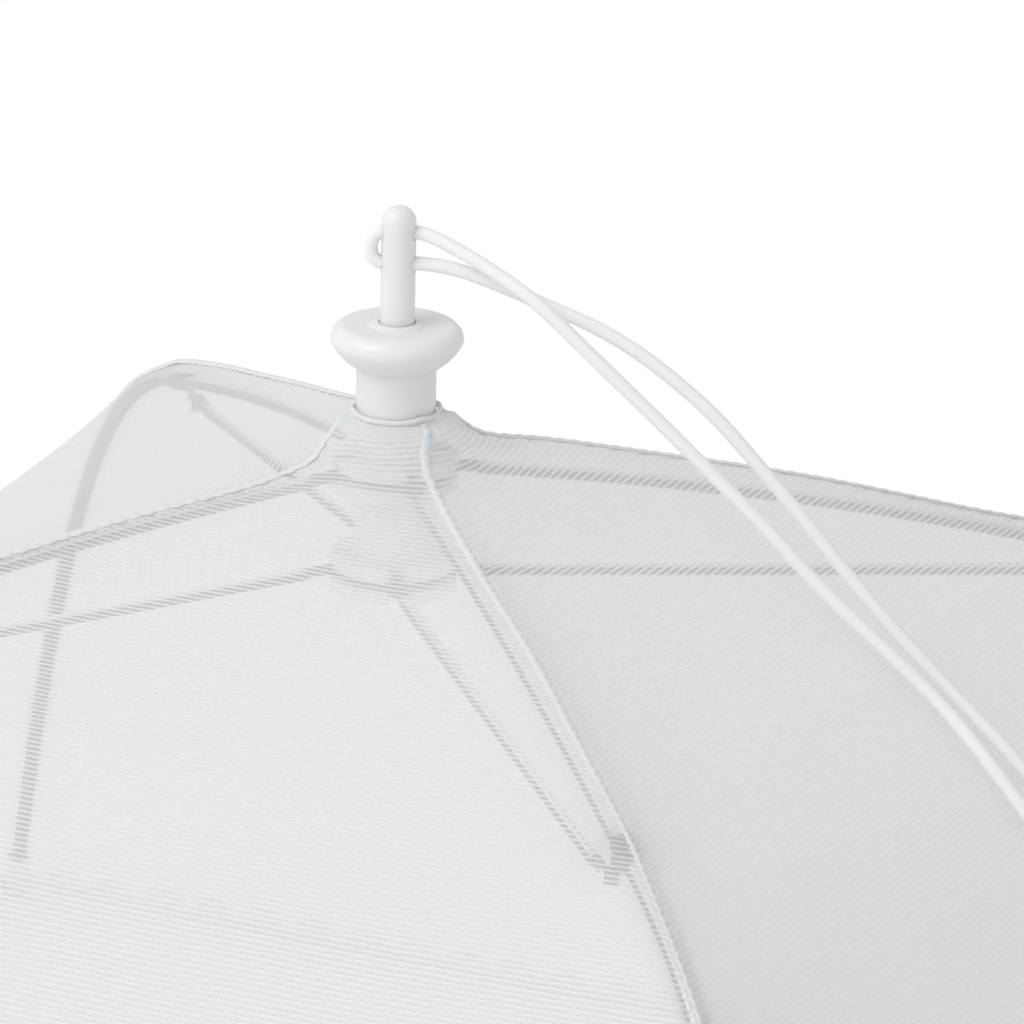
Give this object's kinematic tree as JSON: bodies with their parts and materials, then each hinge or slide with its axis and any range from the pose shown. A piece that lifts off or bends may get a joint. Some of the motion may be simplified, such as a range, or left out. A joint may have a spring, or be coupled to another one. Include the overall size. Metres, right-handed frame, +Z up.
{
  "type": "mesh food cover umbrella",
  "caption": "Square net tent that stands over food on bent spring ribs, opened by pulling a cord through its hub and folded by sliding the rod down",
  "frame": {"origin": "centre of the square footprint on the table", "axes": "+Z up along the pull rod, X and Y parallel to the tent's sides, the pull cord lying over the side that faces +X"},
  "size_m": [0.4388, 0.4388, 0.281],
  "materials": {
    "white_plastic": "moulded, soft sheen",
    "cap_plastic": "moulded, matt",
    "steel": "galvanised spring steel",
    "net": "knitted white net",
    "lace": "white scalloped lace",
    "sewn_tape": "white overlocked thread",
    "cord": "white braided cord"
  },
  "bodies": {
    "hub": {"hub": "white_plastic", "hub_tie_wire": "steel", "net_crown": "net", "neck_binding": "sewn_tape", "pull_cord": "cord"},
    "plunger": {"pull_rod": "white_plastic", "runner": "white_plastic", "runner_tie_wire": "steel", "cord_bight": "cord"},
    "rib_front_right": {"rib_front_right": "steel", "rib_clip_front_right": "steel", "clip_rivet_front_right": "steel", "foot_cap_front_right": "cap_plastic", "seam_binding_front_right": "sewn_tape"},
    "strut_front_right": {"strut_front_right": "steel"},
    "net_front_right_a": {"net_front_right_a": "net", "hem_lace_front_right_a": "lace"},
    "net_front_right_b": {"net_front_right_b": "net", "hem_lace_front_right_b": "lace"},
    "rib_back_right": {"rib_back_right": "steel", "rib_clip_back_right": "steel", "clip_rivet_back_right": "steel", "foot_cap_back_right": "cap_plastic", "seam_binding_back_right": "sewn_tape"},
    "strut_back_right": {"strut_back_right": "steel"},
    "net_back_right_a": {"net_back_right_a": "net", "hem_lace_back_right_a": "lace"},
    "net_back_right_b": {"net_back_right_b": "net", "hem_lace_back_right_b": "lace"},
    "rib_back_left": {"rib_back_left": "steel", "rib_clip_back_left": "steel", "clip_rivet_back_left": "steel", "foot_cap_back_left": "cap_plastic", "seam_binding_back_left": "sewn_tape"},
    "strut_back_left": {"strut_back_left": "steel"},
    "net_back_left_a": {"net_back_left_a": "net", "hem_lace_back_left_a": "lace"},
    "net_back_left_b": {"net_back_left_b": "net", "hem_lace_back_left_b": "lace"},
    "rib_front_left": {"rib_front_left": "steel", "rib_clip_front_left": "steel", "clip_rivet_front_left": "steel", "foot_cap_front_left": "cap_plastic", "seam_binding_front_left": "sewn_tape"},
    "strut_front_left": {"strut_front_left": "steel"},
    "net_front_left_a": {"net_front_left_a": "net", "hem_lace_front_left_a": "lace"},
    "net_front_left_b": {"net_front_left_b": "net", "hem_lace_front_left_b": "lace"}
  },
  "joints": [
    {"name": "plunger_slide", "type": "slide", "parent": "hub", "child": "plunger", "axis": [0, 0, 1], "range_m": [-0.25113, 0], "deforming": ["pull_cord", "cord_bight"]},
    {"name": "rib_hinge_front_right", "type": "hinge", "parent": "hub", "child": "rib_front_right", "pos_m": [0.00849, -0.00849, 0.218], "axis": [0.7071, 0.7071, 0], "range_deg": [0, 50.01]},
    {"name": "strut_hinge_front_right", "type": "hinge", "parent": "rib_front_right", "child": "strut_front_right", "pos_m": [0.11233, -0.11742, 0.17972], "axis": [-0.7071, -0.7071, 0], "range_deg": [0, 119.1]},
    {"name": "net_fold_front_right_a", "type": "hinge", "parent": "rib_front_right", "child": "net_front_right_a", "pos_m": [0, -0.01697, 0.218], "axis": [-0.614, -0.7872, 0.0571], "range_deg": [0, 44.5], "deforming": ["net_front_right_a", "hem_lace_front_right_a"]},
    {"name": "net_fold_front_right_b", "type": "hinge", "parent": "rib_front_right", "child": "net_front_right_b", "pos_m": [0.01697, 0, 0.218], "axis": [-0.7872, -0.614, -0.0571], "range_deg": [0, 44.5], "deforming": ["net_front_right_b", "hem_lace_front_right_b"]},
    {"name": "rib_hinge_back_right", "type": "hinge", "parent": "hub", "child": "rib_back_right", "pos_m": [0.00849, 0.00849, 0.218], "axis": [-0.7071, 0.7071, 0], "range_deg": [0, 50.01]},
    {"name": "strut_hinge_back_right", "type": "hinge", "parent": "rib_back_right", "child": "strut_back_right", "pos_m": [0.11742, 0.11233, 0.17972], "axis": [0.7071, -0.7071, 0], "range_deg": [0, 119.1]},
    {"name": "net_fold_back_right_a", "type": "hinge", "parent": "rib_back_right", "child": "net_back_right_a", "pos_m": [0.01697, 0, 0.218], "axis": [0.7872, -0.614, 0.0571], "range_deg": [0, 44.5], "deforming": ["net_back_right_a", "hem_lace_back_right_a"]},
    {"name": "net_fold_back_right_b", "type": "hinge", "parent": "rib_back_right", "child": "net_back_right_b", "pos_m": [0, 0.01697, 0.218], "axis": [0.614, -0.7872, -0.0571], "range_deg": [0, 44.5], "deforming": ["net_back_right_b", "hem_lace_back_right_b"]},
    {"name": "rib_hinge_back_left", "type": "hinge", "parent": "hub", "child": "rib_back_left", "pos_m": [-0.00849, 0.00849, 0.218], "axis": [-0.7071, -0.7071, 0], "range_deg": [0, 50.01]},
    {"name": "strut_hinge_back_left", "type": "hinge", "parent": "rib_back_left", "child": "strut_back_left", "pos_m": [-0.11233, 0.11742, 0.17972], "axis": [0.7071, 0.7071, 0], "range_deg": [0, 119.1]},
    {"name": "net_fold_back_left_a", "type": "hinge", "parent": "rib_back_left", "child": "net_back_left_a", "pos_m": [0, 0.01697, 0.218], "axis": [0.614, 0.7872, 0.0571], "range_deg": [0, 44.5], "deforming": ["net_back_left_a", "hem_lace_back_left_a"]},
    {"name": "net_fold_back_left_b", "type": "hinge", "parent": "rib_back_left", "child": "net_back_left_b", "pos_m": [-0.01697, 0, 0.218], "axis": [0.7872, 0.614, -0.0571], "range_deg": [0, 44.5], "deforming": ["net_back_left_b", "hem_lace_back_left_b"]},
    {"name": "rib_hinge_front_left", "type": "hinge", "parent": "hub", "child": "rib_front_left", "pos_m": [-0.00849, -0.00849, 0.218], "axis": [0.7071, -0.7071, 0], "range_deg": [0, 50.01]},
    {"name": "strut_hinge_front_left", "type": "hinge", "parent": "rib_front_left", "child": "strut_front_left", "pos_m": [-0.11742, -0.11233, 0.17972], "axis": [-0.7071, 0.7071, 0], "range_deg": [0, 119.1]},
    {"name": "net_fold_front_left_a", "type": "hinge", "parent": "rib_front_left", "child": "net_front_left_a", "pos_m": [-0.01697, 0, 0.218], "axis": [-0.7872, 0.614, 0.0571], "range_deg": [0, 44.5], "deforming": ["net_front_left_a", "hem_lace_front_left_a"]},
    {"name": "net_fold_front_left_b", "type": "hinge", "parent": "rib_front_left", "child": "net_front_left_b", "pos_m": [0, -0.01697, 0.218], "axis": [-0.614, 0.7872, -0.0571], "range_deg": [0, 44.5], "deforming": ["net_front_left_b", "hem_lace_front_left_b"]}
  ],
  "couplings": [
    {"joint": "rib_hinge_front_right", "follows": "plunger_slide", "rad_per_m": -3.4749},
    {"joint": "strut_hinge_front_right", "follows": "plunger_slide", "rad_per_m": -8.2759},
    {"joint": "net_fold_front_right_a", "follows": "plunger_slide", "rad_per_m": -3.0923},
    {"joint": "net_fold_front_right_b", "follows": "plunger_slide", "rad_per_m": -3.0923},
    {"joint": "rib_hinge_back_right", "follows": "plunger_slide", "rad_per_m": -3.4749},
    {"joint": "strut_hinge_back_right", "follows": "plunger_slide", "rad_per_m": -8.2759},
    {"joint": "net_fold_back_right_a", "follows": "plunger_slide", "rad_per_m": -3.0923},
    {"joint": "net_fold_back_right_b", "follows": "plunger_slide", "rad_per_m": -3.0923},
    {"joint": "rib_hinge_back_left", "follows": "plunger_slide", "rad_per_m": -3.4749},
    {"joint": "strut_hinge_back_left", "follows": "plunger_slide", "rad_per_m": -8.2759},
    {"joint": "net_fold_back_left_a", "follows": "plunger_slide", "rad_per_m": -3.0923},
    {"joint": "net_fold_back_left_b", "follows": "plunger_slide", "rad_per_m": -3.0923},
    {"joint": "rib_hinge_front_left", "follows": "plunger_slide", "rad_per_m": -3.4749},
    {"joint": "strut_hinge_front_left", "follows": "plunger_slide", "rad_per_m": -8.2759},
    {"joint": "net_fold_front_left_a", "follows": "plunger_slide", "rad_per_m": -3.0923},
    {"joint": "net_fold_front_left_b", "follows": "plunger_slide", "rad_per_m": -3.0923}
  ]
}
